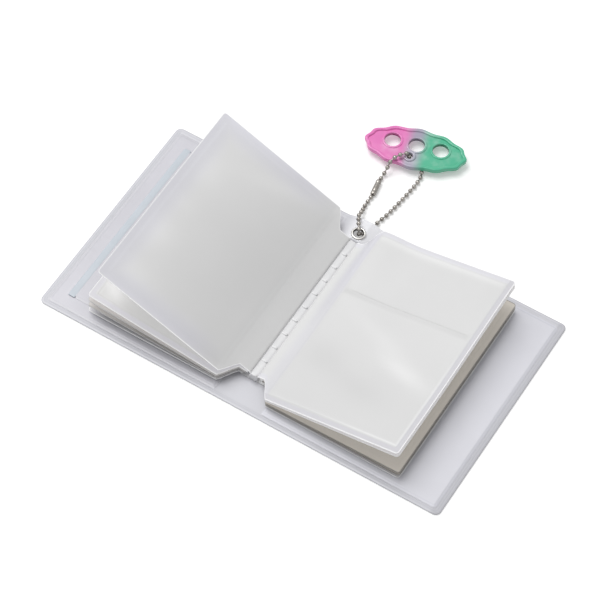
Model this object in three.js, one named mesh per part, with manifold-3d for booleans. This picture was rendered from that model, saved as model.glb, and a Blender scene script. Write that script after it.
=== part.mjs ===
// A soft film photocard binder, lying open on a table, with a ball chain and a moulded charm.
// Units are millimetres and +Z is up. The origin is on the table, under the middle of the open cover.
// +X runs from the front cover to the back cover, and +Y runs towards the head of the book.

import * as THREE from 'three';
import { mergeVertices } from 'three/addons/utils/BufferGeometryUtils.js';
import Module from 'manifold-3d';

const wasm = await Module();
wasm.setup();

// Running gap between pieces that touch on the real binder
const gap = 0.3;

// Cover
const coverHeight = 130;
const coverPanelWidth = 104.75;
const spineWidth = 24;
const coverCornerRadius = 5;
const coverFilmThickness = 0.4;
const foldGap = 0.7;
const liningThickness = 0.25;
const liningMargin = 3;
const liningFoldMargin = 1.5;
const liningCornerRadius = 3;

// Pocket panel on the inside of the front cover, with a tinted binding along its mouth
const panelThickness = 0.25;
const panelHeight = 108.6;
const panelForeMargin = 11.8;
const panelFoldMargin = 2.4;
const panelCornerRadius = 2;
const panelBindingWidth = 2.6;

// Leaves: two films each, welded round the rim, with a card slit in one of them
const leavesPerSide = 5;
const leafFilmThickness = 0.25;
const cardGap = 0.3;
const leafWidth = 91.2;
const leafHeight = 116.6;
const leafCentreY = 0.75;
const notchStart = 7.5;
const notchEnd = 14.5;
const leafCornerRadius = 3.5;
const slitFromHead = 39.9;
const slitWidth = 0.5;
const slitRootMargin = 18.5;
const slitForeMargin = 5.5;

// How the leaves lie in the open book, in degrees above the table, from the cover upwards
const frontFan = [0.6, 2.8, 5, 7.2, 24];
const backFan = [0, 0.8, 1.6, 10.3, 11.4];

// Binding strip that the leaf roots are welded to
const gutterX = -1;
const ridgeFrontSide = 0.6;
const ridgeBackSide = 2.6;
const ridgeTopZ = 3.4;
const frontRootClearance = 0.7;
const backRootClearance = 1.5;
const stripFilmThickness = 0.25;
const stripFlange = 1.3;
const weldTickCount = 10;
const weldTickHeadMargin = 8;
const weldTickTailMargin = 0.6;
const weldTickWidth = 0.8;
const weldTickHeight = 0.25;

// Eyelet at the head of the spine, and the rise that the chain gives the film there
const eyeletX = -0.6;
const eyeletFromHead = 10;
const eyeletHoleRadius = 2.7;
const eyeletWall = 0.4;
const eyeletFlangeRadius = 3.85;
const eyeletRollRadius = 3.7;
const eyeletFlangeThickness = 0.45;
const eyeletRollThickness = 0.4;
const riseShoulder = 0.35;
const riseRampWidth = 5.5;
const riseRampLength = 1.8;

// Ball chain
const beadRadius = 1.2;
const beadPitch = 3.28;
const linkRadius = 0.4;
const chainRestZ = 1.25;
const chainSides = 8;
const chainJoinPlay = 0.5;
const connectorRadius = 1.5;
const connectorStart = [-7.9, 16.3, chainRestZ];
const connectorEnd = [-9.7, 26.2, chainRestZ];

// Charm
const charmHalfLength = 27.5;
const charmHalfWidth = 13;
const charmLobes = 12;
const charmLobeDepth = 0.9;
const charmPlate = 2.2;
const charmRimWidth = 2.1;
const charmRimHeight = 0.8;
const charmTurn = 16;
const charmWindowRadius = 4.3;
const charmWindowPitch = 13;
const charmWindowShift = 2.2;
const chainHoleX = -3.35;
const chainHoleFromHead = 45.74;
const chainHoleRadius = 1.95;
const chainBossWall = 1.5;
const chainHoleAlong = -2;
const chainHoleAcross = -5.8;

// Heights that follow from the sizes above
const coverTop = coverFilmThickness;
const liningBottom = coverTop + gap;
const liningTop = liningBottom + liningThickness;
const panelBottom = liningTop + gap;
const panelTop = panelBottom + panelThickness;
const leafThickness = 2 * leafFilmThickness + cardGap;
const leafPitch = leafThickness + gap;
const foldX = spineWidth / 2;
const foreX = foldX + coverPanelWidth;
const ridgeFrontX = gutterX - ridgeFrontSide;
const ridgeBackX = gutterX + ridgeBackSide;
const headY = coverHeight / 2;
const eyeletY = headY - eyeletFromHead;
const riseTopHalfWidth = eyeletFlangeRadius + riseShoulder;
const riseTopY = eyeletY - riseTopHalfWidth;
const riseTopEndY = eyeletY + riseTopHalfWidth;
const riseStartY = riseTopY - riseRampLength;
const stripHeadY = riseStartY - gap;
const leafRootHeight = 2 * (stripHeadY - leafCentreY);
const chainTop = chainRestZ + beadRadius;
const riseAtEyelet = chainTop + gap + eyeletRollThickness + gap;
const riseAtHead = chainTop + gap;
const charmBottom = chainTop + 0.35;

const group = new THREE.Group();

const film = (color, opacity) => new THREE.MeshStandardMaterial({
  color, roughness: 0.35, metalness: 0, transparent: true, opacity,
});
const coverFilmMaterial = film(0xd8d8e0, 0.75);
const liningMaterial = film(0xdcdce4, 0.6);
const leafMaterial = film(0xe2e2e2, 0.6);
const panelBindingMaterial = film(0xcdd9e3, 0.9);
const stripMaterial = new THREE.MeshStandardMaterial({ color: 0xf0f0f0, roughness: 0.5, metalness: 0 });
const nickelMaterial = new THREE.MeshStandardMaterial({ color: 0xb9b3aa, roughness: 0.25, metalness: 1 });
const charmMaterial = new THREE.MeshStandardMaterial({ color: 0xd070b0, roughness: 0.2, metalness: 0 });

function addMesh(name, geometry, material, parent = group) {
  const mesh = new THREE.Mesh(geometry, material);
  mesh.name = name;
  parent.add(mesh);
  return mesh;
}

function indexedGeometry(positions, index) {
  const geometry = new THREE.BufferGeometry();
  geometry.setAttribute('position', new THREE.Float32BufferAttribute(positions, 3));
  geometry.setIndex(index);
  return geometry;
}

function solidOf(geometry) {
  const bare = geometry.clone();
  bare.deleteAttribute('normal');
  bare.deleteAttribute('uv');
  const merged = mergeVertices(bare, 1e-4);
  return new wasm.Manifold(new wasm.Mesh({
    numProp: 3,
    vertProperties: new Float32Array(merged.attributes.position.array),
    triVerts: new Uint32Array(merged.index.array),
  }));
}

function geometryOf(solid) {
  const mesh = solid.getMesh();
  return indexedGeometry(Array.from(mesh.vertProperties), Array.from(mesh.triVerts));
}

function smoothStep(t) {
  const c = Math.min(1, Math.max(0, t));
  return c * c * (3 - 2 * c);
}

function evenSteps(from, to, count) {
  return Array.from({ length: count + 1 }, (_, i) => from + (to - from) * i / count);
}

// A closed thin sheet on a grid. rowsAt(u) gives every column the same number of rows, and place(u, v, w)
// puts a point in space, with w = 0 on the under side and w = 1 on the upper side. Cells that isOpen names
// are cut out. A sheet that runs the other way along X is turned inside out, so its faces are flipped back.
function sheet(columns, rowsAt, place, { isOpen = () => false, flipped = false } = {}) {
  const rowCount = rowsAt(columns[0]).length;
  const positions = [];
  for (const w of [0, 1]) {
    for (const u of columns) {
      for (const v of rowsAt(u)) positions.push(...place(u, v, w));
    }
  }
  const at = (i, j, w) => (w * columns.length + i) * rowCount + j;
  const inGrid = (i, j) => i >= 0 && j >= 0 && i < columns.length - 1 && j < rowCount - 1;
  const isFilm = (i, j) => inGrid(i, j) && !isOpen(i, j);
  const index = [];
  const quad = (a, b, c, d) => index.push(...(flipped ? [a, c, b, a, d, c] : [a, b, c, a, c, d]));
  for (let i = 0; i < columns.length - 1; i++) {
    for (let j = 0; j < rowCount - 1; j++) {
      if (!isFilm(i, j)) continue;
      quad(at(i, j, 1), at(i + 1, j, 1), at(i + 1, j + 1, 1), at(i, j + 1, 1));
      quad(at(i, j, 0), at(i, j + 1, 0), at(i + 1, j + 1, 0), at(i + 1, j, 0));
      if (!isFilm(i - 1, j)) quad(at(i, j, 0), at(i, j, 1), at(i, j + 1, 1), at(i, j + 1, 0));
      if (!isFilm(i + 1, j)) quad(at(i + 1, j, 0), at(i + 1, j + 1, 0), at(i + 1, j + 1, 1), at(i + 1, j, 1));
      if (!isFilm(i, j - 1)) quad(at(i, j, 0), at(i + 1, j, 0), at(i + 1, j, 1), at(i, j, 1));
      if (!isFilm(i, j + 1)) quad(at(i, j + 1, 0), at(i, j + 1, 1), at(i + 1, j + 1, 1), at(i + 1, j + 1, 0));
    }
  }
  return indexedGeometry(positions, index);
}

// Columns and half height of a sheet whose two far corners are round
const cornerSteps = 4;
function roundedEnd(end, radius) {
  const arc = evenSteps(0, Math.PI / 2, cornerSteps);
  return arc.map((angle) => end - radius + radius * Math.sin(angle));
}
function halfHeightAt(u, end, radius, halfHeight) {
  const past = Math.max(0, u - (end - radius));
  return halfHeight - radius + Math.sqrt(Math.max(0, radius * radius - past * past));
}

// One flat panel between two distances from the spine's middle, on the front side (-1) or the back side (1)
function flatPanel(side, nearX, farX, height, radius, bottom, thickness) {
  const rowsAt = (u) => {
    const half = halfHeightAt(u, farX, radius, height / 2);
    return [-half, half];
  };
  const place = (u, v, w) => [side * u, v, bottom + w * thickness];
  return sheet([nearX, ...roundedEnd(farX, radius)], rowsAt, place, { flipped: side < 0 });
}

// Cover panels: outer film and lining, welded together round the edge
for (const [name, side] of [['front', -1], ['back', 1]]) {
  addMesh(`${name}_cover_film`, flatPanel(side, foldX + foldGap / 2, foreX, coverHeight,
    coverCornerRadius, 0, coverFilmThickness), coverFilmMaterial);
  addMesh(`${name}_lining_film`, flatPanel(side, foldX + liningFoldMargin, foreX - liningMargin,
    coverHeight - 2 * liningMargin, liningCornerRadius, liningBottom, liningThickness), liningMaterial);
}

// Pocket panel of the front cover and the tinted binding on its mouth
const panelForeX = foreX - panelForeMargin;
const bindingNearX = panelForeX - panelBindingWidth;
addMesh('front_pocket_panel', flatPanel(-1, foldX + panelFoldMargin, bindingNearX - gap, panelHeight,
  panelCornerRadius, panelBottom, panelThickness), liningMaterial);
addMesh('front_pocket_binding', flatPanel(-1, bindingNearX, panelForeX, panelHeight,
  panelBindingWidth / 4, panelBottom, panelThickness), panelBindingMaterial);

// Spine film. It lies flat between the folds and rises over the chain at the head.
function filmRise(x, y) {
  const across = smoothStep((riseTopHalfWidth + riseRampWidth - Math.abs(x - eyeletX)) / riseRampWidth);
  const along = smoothStep((y - riseStartY) / riseRampLength);
  const towardsHead = Math.max(0, (y - riseTopEndY) / (headY - riseTopEndY));
  return across * along * (riseAtEyelet + (riseAtHead - riseAtEyelet) * towardsHead);
}
const rampSteps = 4;
const riseOuter = riseTopHalfWidth + riseRampWidth;
const spineColumns = [
  -foldX + foldGap / 2,
  ...evenSteps(eyeletX - riseOuter, eyeletX - riseTopHalfWidth, rampSteps),
  ...evenSteps(eyeletX + riseTopHalfWidth, eyeletX + riseOuter, rampSteps),
  foldX - foldGap / 2,
];
const spineRows = [-headY, ...evenSteps(riseStartY, riseTopY, rampSteps), riseTopEndY, headY];
const spineSheet = sheet(spineColumns, () => spineRows, (u, v, w) => [u, v, filmRise(u, v) + w * coverFilmThickness]);
const barrelRadius = eyeletHoleRadius + eyeletWall;
const roundSides = 24;
const eyeletCut = new THREE.CylinderGeometry(barrelRadius + gap, barrelRadius + gap, 4 * riseAtEyelet, roundSides);
eyeletCut.rotateX(Math.PI / 2);
eyeletCut.translate(eyeletX, eyeletY, riseAtEyelet);
addMesh('spine_film', geometryOf(solidOf(spineSheet).subtract(solidOf(eyeletCut))), coverFilmMaterial);

// Eyelet: a barrel through the spine film, with a flange above it and a rolled edge below it
const flangeBottom = riseAtEyelet + coverFilmThickness + gap;
const flangeTop = flangeBottom + eyeletFlangeThickness;
const rollTop = riseAtEyelet - gap;
const rollBottom = rollTop - eyeletRollThickness;
const eyeletProfile = [
  [eyeletHoleRadius, rollBottom],
  [eyeletRollRadius, rollBottom],
  [eyeletRollRadius, rollTop],
  [barrelRadius, rollTop],
  [barrelRadius, flangeBottom],
  [eyeletFlangeRadius, flangeBottom],
  [eyeletFlangeRadius, flangeTop - eyeletFlangeThickness / 2],
  [eyeletFlangeRadius - eyeletFlangeThickness / 2, flangeTop],
  [eyeletHoleRadius + eyeletFlangeThickness / 2, flangeTop],
  [eyeletHoleRadius, flangeTop - eyeletFlangeThickness / 2],
  [eyeletHoleRadius, rollBottom],
].map(([r, z]) => new THREE.Vector2(r, z));
const eyelet = addMesh('eyelet', new THREE.LatheGeometry(eyeletProfile, roundSides), nickelMaterial);
eyelet.rotation.x = Math.PI / 2;
eyelet.position.set(eyeletX, eyeletY, 0);

// Roots of the leaves. The k-th leaf from the cover is hinged one leaf pitch higher and nearer the gutter
// than the one below it, so the roots stand side by side when the book is closed.
function rootOf(side, k) {
  const stepsBelowTop = leavesPerSide - 1 - k;
  const topRootX = side < 0 ? ridgeFrontX - frontRootClearance : ridgeBackX + backRootClearance;
  const baseZ = (side < 0 ? panelTop : liningTop) + gap + leafThickness / 2;
  return { x: topRootX + side * stepsBelowTop * leafPitch, z: baseZ + k * leafPitch };
}

// Binding strip: a film flange under the leaf roots, a ridge between them, and the weld ticks on the ridge
const stripFrontX = rootOf(-1, 0).x - stripFlange;
const stripBackX = rootOf(1, 0).x + stripFlange;
const stripShape = new THREE.Shape([
  [stripFrontX, liningBottom],
  [stripBackX, liningBottom],
  [stripBackX, liningBottom + stripFilmThickness],
  [ridgeBackX, liningBottom + stripFilmThickness],
  [ridgeBackX, ridgeTopZ],
  [ridgeFrontX, ridgeTopZ],
  [ridgeFrontX, liningBottom + stripFilmThickness],
  [stripFrontX, liningBottom + stripFilmThickness],
].map(([x, z]) => new THREE.Vector2(x, z)));
const stripGeometry = new THREE.ExtrudeGeometry(stripShape, { depth: leafRootHeight, bevelEnabled: false });
stripGeometry.rotateX(Math.PI / 2);
stripGeometry.translate(0, stripHeadY, 0);
let strip = solidOf(stripGeometry);
const tickLength = ridgeBackX - ridgeFrontX - gap;
const firstTickY = stripHeadY - leafRootHeight + weldTickTailMargin + weldTickWidth / 2;
const lastTickY = stripHeadY - weldTickHeadMargin - weldTickWidth / 2;
for (const tickY of evenSteps(firstTickY, lastTickY, weldTickCount - 1)) {
  const tick = new THREE.BoxGeometry(tickLength, weldTickWidth, 2 * weldTickHeight);
  tick.translate((ridgeFrontX + ridgeBackX) / 2, tickY, ridgeTopZ);
  strip = strip.add(solidOf(tick));
}
addMesh('binding_strip', geometryOf(strip), stripMaterial);

// Leaves. Distances along a leaf are measured from the gutter, where all leaf roots meet.
const slitY = leafHeight / 2 - slitFromHead;
const slitStart = slitRootMargin;
const slitEnd = leafWidth - slitForeMargin;
function leafHalfHeight(u) {
  const widening = Math.min(1, Math.max(0, (u - notchStart) / (notchEnd - notchStart)));
  const notched = (leafRootHeight + (leafHeight - leafRootHeight) * widening) / 2;
  return notched - leafHeight / 2 + halfHeightAt(u, leafWidth, leafCornerRadius, leafHeight / 2);
}
function leafFilmGeometry(side, rootDistance, bottom, hasSlit) {
  const start = rootDistance + gap;
  const stations = [notchStart, notchEnd, slitStart, slitEnd, ...roundedEnd(leafWidth, leafCornerRadius)];
  const columns = [start, ...stations.filter((u) => u > start).sort((a, b) => a - b)];
  const rowsAt = (u) => [-leafHalfHeight(u), slitY - slitWidth / 2, slitY + slitWidth / 2, leafHalfHeight(u)];
  const place = (u, v, w) => [side * (u - rootDistance), v, bottom + w * leafFilmThickness];
  const isOpen = (i, j) => hasSlit && j === 1 && columns[i] >= slitStart && columns[i] < slitEnd;
  return sheet(columns, rowsAt, place, { isOpen, flipped: side < 0 });
}
function addLeaf(number, side, k, angle) {
  const root = rootOf(side, k);
  const leaf = new THREE.Group();
  leaf.position.set(root.x, leafCentreY, root.z);
  leaf.rotation.y = -side * THREE.MathUtils.degToRad(angle);
  group.add(leaf);
  const rootDistance = side * (root.x - gutterX);
  const films = [['lower', -leafThickness / 2, side < 0], ['upper', leafThickness / 2 - leafFilmThickness, side > 0]];
  for (const [which, bottom, hasSlit] of films) {
    addMesh(`leaf_${number}_${which}_film`, leafFilmGeometry(side, rootDistance, bottom, hasSlit),
      leafMaterial, leaf);
  }
}
frontFan.forEach((angle, k) => addLeaf(k + 1, -1, k, angle));
backFan.forEach((angle, k) => addLeaf(2 * leavesPerSide - k, 1, k, angle));

// Ball chain. A strand is one unbroken tube along a curve: it swells to a bead at every pitch and narrows
// to the link between beads.
function strand(points) {
  const curve = new THREE.CatmullRomCurve3(points.map((p) => new THREE.Vector3(...p)), false, 'centripetal');
  curve.arcLengthDivisions = 400;
  const length = curve.getLength();
  const beads = Math.max(1, Math.round(length / beadPitch));
  const rings = [{ s: chainJoinPlay / 2, r: linkRadius }];
  for (let b = 0; b < beads; b++) {
    const centre = (b + 0.5) * length / beads;
    for (const t of [-0.95, -0.5, 0.5, 0.95]) {
      const r = Math.max(linkRadius, beadRadius * Math.sqrt(1 - t * t));
      rings.push({ s: centre + t * beadRadius, r });
    }
  }
  rings.push({ s: length - chainJoinPlay / 2, r: linkRadius });
  const positions = [];
  const index = [];
  const firstTangent = curve.getTangentAt(rings[0].s / length);
  const across = new THREE.Vector3(0, 0, 1).cross(firstTangent).normalize();
  rings.forEach(({ s, r }, i) => {
    const centre = curve.getPointAt(s / length);
    const tangent = curve.getTangentAt(s / length);
    across.addScaledVector(tangent, -across.dot(tangent)).normalize();
    const up = tangent.clone().cross(across);
    for (let k = 0; k < chainSides; k++) {
      const angle = 2 * Math.PI * k / chainSides;
      const p = centre.clone().addScaledVector(across, r * Math.cos(angle)).addScaledVector(up, r * Math.sin(angle));
      positions.push(p.x, p.y, p.z);
      if (i === 0) continue;
      const here = i * chainSides + k;
      const next = i * chainSides + (k + 1) % chainSides;
      index.push(here - chainSides, next - chainSides, next, here - chainSides, next, here);
    }
  });
  const last = (rings.length - 1) * chainSides;
  for (let k = 1; k < chainSides - 1; k++) {
    index.push(0, k + 1, k);
    index.push(last, last + k, last + k + 1);
  }
  return indexedGeometry(positions, index);
}

// The chain's route, with Y measured from the head edge of the cover: over that edge, down through the eyelet,
// under the spine film and out again, round the charm's hole, and back along the table to the connector. The
// loop lifts about the point where its front run meets the eyelet run.
const eyeletAlong = -eyeletFromHead;
const overFlange = flangeTop + gap + beadRadius + 0.3;
const overHeadEdge = riseAtHead + coverFilmThickness + gap + beadRadius;
const frontJoin = [-6.4, 1.4, 4.1];
const backJoin = [2.9, 1, chainRestZ];
const eyeletRoute = [
  frontJoin,
  [-6, -0.7, overHeadEdge],
  [-4.6, -3.4, overFlange - 0.8],
  [eyeletX - 2.2, eyeletAlong + 3.7, overFlange],
  [eyeletX - 0.9, eyeletAlong + 1.8, overFlange],
  [eyeletX, eyeletAlong, riseAtEyelet + coverFilmThickness + 0.5],
  [eyeletX + 0.1, eyeletAlong + 0.6, rollBottom],
  [eyeletX + 0.7, eyeletAlong + 2.6, chainRestZ],
  [1, -5, chainRestZ],
  backJoin,
];
const frontRunRoute = [
  frontJoin,
  [-6.8, 3.6, 2.9],
  [-7.3, 6, 1.8],
  [-7.8, 8.5, chainRestZ],
  [-7.9, 12, chainRestZ],
  connectorStart,
];
const charmTop = charmBottom + charmPlate + charmRimHeight;
const overCharm = charmTop + gap + beadRadius + 0.2;
const charmJoin = [-0.9, 46.2, chainRestZ];
const charmRunRoute = [
  connectorEnd,
  [-9.8, 29.2, 1.35],
  [-9.7, 31.6, 2.2],
  [-9.5, 34.5, 4.6],
  [-9.2, 36.6, overCharm - 0.6],
  [-8.6, 39, overCharm],
  [-7, 42.4, overCharm],
  [chainHoleX - 1, chainHoleFromHead - 0.6, overCharm - 0.1],
  [chainHoleX - 0.1, chainHoleFromHead - 0.1, overCharm - 1.2],
  [chainHoleX, chainHoleFromHead, charmBottom + charmPlate],
  [chainHoleX, chainHoleFromHead, charmBottom + 0.8],
  [chainHoleX + 0.35, chainHoleFromHead + 0.15, 2.2],
  [chainHoleX + 1.45, chainHoleFromHead + 0.4, chainRestZ],
  charmJoin,
];
const backRunRoute = [
  charmJoin,
  [1.6, 45.9, chainRestZ],
  [4.6, 44.6, chainRestZ],
  [7, 41, chainRestZ],
  [7.6, 36, chainRestZ],
  [7.2, 29, chainRestZ],
  [6.4, 21, chainRestZ],
  [5.5, 14, chainRestZ],
  [4.5, 8, chainRestZ],
  [3.6, 4.5, chainRestZ],
  backJoin,
];
const keyring = new THREE.Group();
keyring.position.y = headY;
group.add(keyring);
addMesh('chain_eyelet_run', strand(eyeletRoute), nickelMaterial, keyring);
addMesh('chain_front_run', strand(frontRunRoute), nickelMaterial, keyring);
addMesh('chain_charm_run', strand(charmRunRoute), nickelMaterial, keyring);
addMesh('chain_back_run', strand(backRunRoute), nickelMaterial, keyring);

// Connector: a rolled barrel with domed ends that clips over the two end beads
const barrelStart = new THREE.Vector3(...connectorStart).setZ(connectorRadius);
const barrelEnd = new THREE.Vector3(...connectorEnd).setZ(connectorRadius);
const barrelLength = barrelStart.distanceTo(barrelEnd);
const barrelProfile = [
  [0, 0],
  [connectorRadius * 0.75, 0],
  [connectorRadius, connectorRadius * 0.35],
  [connectorRadius, barrelLength - connectorRadius * 0.35],
  [connectorRadius * 0.75, barrelLength],
  [0, barrelLength],
].map(([r, y]) => new THREE.Vector2(r, y));
const connectorSides = 12;
const barrelGeometry = new THREE.LatheGeometry(barrelProfile, connectorSides);
const connector = addMesh('chain_connector', barrelGeometry, nickelMaterial, keyring);
connector.position.copy(barrelStart);
connector.quaternion.setFromUnitVectors(new THREE.Vector3(0, 1, 0), barrelEnd.clone().sub(barrelStart).normalize());

// Charm: a lobed oval plate with a raised rim, three round windows and a boss round the chain's hole
const outlineSteps = 72;
function lobedOval(inset) {
  return evenSteps(0, 2 * Math.PI, outlineSteps).slice(0, -1).map((angle) => {
    const lobe = charmLobeDepth * (Math.cos(charmLobes * angle) - 1) / 2 - inset;
    return new THREE.Vector2((charmHalfLength + lobe) * Math.cos(angle), (charmHalfWidth + lobe) * Math.sin(angle));
  });
}
function prism(outline, height, holes = []) {
  const shape = new THREE.Shape(outline);
  shape.holes = holes.map((hole) => new THREE.Path(hole));
  return solidOf(new THREE.ExtrudeGeometry(shape, { depth: height, bevelEnabled: false }));
}
function post(radius, height, x, y, bottom = 0) {
  const cylinder = new THREE.CylinderGeometry(radius, radius, height, roundSides);
  cylinder.rotateX(Math.PI / 2);
  cylinder.translate(x, y, bottom + height / 2);
  return solidOf(cylinder);
}
const charmHeight = charmPlate + charmRimHeight;
let charmSolid = prism(lobedOval(0), charmPlate);
charmSolid = charmSolid.add(prism(lobedOval(0), charmHeight, [lobedOval(charmRimWidth)]));
charmSolid = charmSolid.add(post(chainHoleRadius + chainBossWall, charmHeight, chainHoleAlong, chainHoleAcross));
for (const step of [-1, 0, 1]) {
  charmSolid = charmSolid.subtract(post(charmWindowRadius, 3 * charmHeight, step * charmWindowPitch,
    charmWindowShift, -charmHeight));
}
charmSolid = charmSolid.subtract(post(chainHoleRadius, 3 * charmHeight, chainHoleAlong, chainHoleAcross,
  -charmHeight));
charmSolid = charmSolid.translate(-chainHoleAlong, -chainHoleAcross, 0);
const charm = addMesh('charm', geometryOf(charmSolid), charmMaterial, keyring);
charm.position.set(chainHoleX, chainHoleFromHead, charmBottom);
charm.rotation.z = THREE.MathUtils.degToRad(charmTurn);

export default group;
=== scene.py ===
import math

import bmesh
import bpy
import numpy as np
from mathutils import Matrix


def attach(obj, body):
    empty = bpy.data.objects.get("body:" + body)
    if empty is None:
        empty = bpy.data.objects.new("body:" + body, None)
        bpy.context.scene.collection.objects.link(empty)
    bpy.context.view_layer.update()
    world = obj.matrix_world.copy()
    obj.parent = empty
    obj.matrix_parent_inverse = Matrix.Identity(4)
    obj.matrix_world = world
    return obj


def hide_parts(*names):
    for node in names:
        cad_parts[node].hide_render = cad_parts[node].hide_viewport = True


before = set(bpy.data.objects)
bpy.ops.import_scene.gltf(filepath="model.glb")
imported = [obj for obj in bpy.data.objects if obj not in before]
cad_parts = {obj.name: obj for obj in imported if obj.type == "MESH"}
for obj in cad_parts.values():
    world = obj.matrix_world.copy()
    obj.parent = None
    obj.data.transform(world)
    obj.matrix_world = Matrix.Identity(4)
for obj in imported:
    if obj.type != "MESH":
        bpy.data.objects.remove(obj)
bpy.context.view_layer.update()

# Camera. It stands a metre and a half off, towards the tail and the back cover, and looks down on the open
# book through a long lens, so the covers stay nearly parallel.
camera_place = (0.4118, -0.7158, 1.2567)
camera_turns = (33.4288, -1.2218, 31.6351)
camera_sensor = 36
camera_lens = 174.49


def add_object(name, data):
    """A new object in the scene, at the origin."""
    added = bpy.data.objects.new(name, data)
    bpy.context.scene.collection.objects.link(added)
    return added


camera = add_object("camera", bpy.data.cameras.new("camera"))
bpy.context.scene.camera = camera
camera.location = camera_place
camera.rotation_euler = [math.radians(turn) for turn in camera_turns]
camera.data.sensor_fit = "HORIZONTAL"
camera.data.sensor_width = camera_sensor
camera.data.lens = camera_lens

# Table top and studio. One soft lamp stands to the left above the front cover and a pale room gives the
# rest of the light. The table is seen as white, and it keeps a faint shadow of the book.
mm = 0.001
room_light = 0.44
lamp_watts = 18.5
lamp_place = (-0.7, 0.22, 1.55)
lamp_size = 1.1
table_reach = 3
table_depth = 0.2 * mm
table_glow = 0.25
table_lit_grey = 0.8
table_seen_grey = 0.94
cloud_detail = 3
grain_detail = 2


class Value:
    """The output socket of a node. Arithmetic on it adds a Math node and gives that node's output, so that
    1 - mask and height * 0.2 stand as they are written."""

    def __init__(self, nodes, socket):
        self.nodes = nodes
        self.socket = socket

    def join(self, operation, first, second):
        return self.nodes.add("ShaderNodeMath", {"operation": operation}, {0: first, 1: second})

    def __add__(self, other):
        return self.join("ADD", self, other)

    def __radd__(self, other):
        return self.join("ADD", other, self)

    def __sub__(self, other):
        return self.join("SUBTRACT", self, other)

    def __rsub__(self, other):
        return self.join("SUBTRACT", other, self)

    def __mul__(self, other):
        return self.join("MULTIPLY", self, other)

    def __rmul__(self, other):
        return self.join("MULTIPLY", other, self)

    def rise(self, low, high):
        """0 below low and 1 above high, with a smooth step between them."""
        return self.nodes.add("ShaderNodeMapRange", {"interpolation_type": "SMOOTHSTEP"},
                              {"Value": self, "From Min": low, "From Max": high})

    def band(self, middle, half_width):
        """1 at the middle of a narrow band and 0 outside it."""
        return self.rise(middle - half_width, middle) * (1 - self.rise(middle, middle + half_width))


class Nodes:
    """The node tree of one material or of the room."""

    def __init__(self, tree):
        self.tree = tree

    def feed(self, socket, value):
        """Links a socket to a node's output, or sets its own value."""
        if isinstance(value, Value):
            self.tree.links.new(value.socket, socket)
        else:
            socket.default_value = value

    def add(self, kind, settings=None, sockets=None, output=0):
        """Adds a node, makes its settings and then gives its sockets their values or links."""
        node = self.tree.nodes.new(kind)
        for name, value in (settings or {}).items():
            setattr(node, name, value)
        for name, value in (sockets or {}).items():
            self.feed(node.inputs[name], value)
        return Value(self, node.outputs[output])

    def dress(self, kind, sockets):
        """Gives sockets of a node that the tree already has their values or links."""
        for name, value in sockets.items():
            self.feed(self.tree.nodes[kind].inputs[name], value)

    def blend(self, share, first, second):
        """A colour between two colours, through a Mix node."""
        return self.add("ShaderNodeMix", {"data_type": "RGBA"}, {0: share, 6: first, 7: second}, 2)

    def place(self):
        """The place of a point in the object's own metres."""
        return self.add("ShaderNodeTexCoord", output="Object")

    def grain(self, scale, detail=grain_detail):
        """Soft noise from 0 to 1."""
        return self.add("ShaderNodeTexNoise", {}, {"Vector": self.place(), "Scale": scale, "Detail": detail})

    def mark(self, name):
        """A value that the mesh carries at its points."""
        return self.add("ShaderNodeAttribute", {"attribute_name": name}, {}, "Fac")

    def dent(self, height):
        """A surface normal bent by a height in metres."""
        return self.add("ShaderNodeBump", {}, {"Height": height, "Distance": 1, "Strength": 1}, "Normal")

    def any_ray(self, *kinds):
        """1 for a ray of one of these kinds, and 0 for any other."""
        total = self.add("ShaderNodeLightPath", output=f"Is {kinds[0]} Ray")
        for kind in kinds[1:]:
            total = self.add("ShaderNodeMath", {"operation": "ADD", "use_clamp": True},
                             {0: total, 1: self.add("ShaderNodeLightPath", output=f"Is {kind} Ray")})
        return total

    def seen(self):
        """1 where a camera, mirror or clear ray looks, and 0 where light falls on the object."""
        return self.any_ray("Camera", "Glossy", "Transmission")


def new_finish(name):
    """A new material and its node tree."""
    material = bpy.data.materials.new(name)
    material.use_nodes = True
    return material, Nodes(material.node_tree)


def diffuse(nodes, grey):
    """A matt grey shader."""
    return nodes.add("ShaderNodeBsdfDiffuse", {}, {"Color": (grey, grey, grey, 1)})


bpy.context.scene.view_settings.view_transform = "Standard"
room = bpy.data.worlds.new("room")
room.use_nodes = True
bpy.context.scene.world = room
room_nodes = Nodes(room.node_tree)
room_strength = room_light + room_nodes.seen() * (1 - room_light)
room_nodes.dress("Background", {"Strength": room_strength, "Color": (1, 1, 1, 1)})

lamp = add_object("lamp", bpy.data.lights.new("lamp", "AREA"))
lamp.location = lamp_place
lamp.rotation_euler = (-lamp.location).to_track_quat("-Z", "Y").to_euler()
lamp.data.energy = lamp_watts
lamp.data.size = lamp_size

table_mesh = bpy.data.meshes.new("table")
table_corners = [(x * table_reach, y * table_reach, -table_depth)
                 for x, y in ((-1, -1), (1, -1), (1, 1), (-1, 1))]
table_mesh.from_pydata(table_corners, [], [(0, 1, 2, 3)])
table = add_object("table", table_mesh)
table_finish, table_nodes = new_finish("table_white")
table_shine = table_nodes.add("ShaderNodeEmission", {}, {"Strength": table_glow})
table_seen = table_nodes.add("ShaderNodeAddShader", {}, {0: diffuse(table_nodes, table_seen_grey),
                                                         1: table_shine})
table_surface = table_nodes.add("ShaderNodeMixShader", {}, {
    0: table_nodes.seen(),
    1: diffuse(table_nodes, table_lit_grey),
    2: table_seen,
})
table_nodes.dress("Material Output", {"Surface": table_surface})
table_mesh.materials.append(table_finish)

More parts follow.
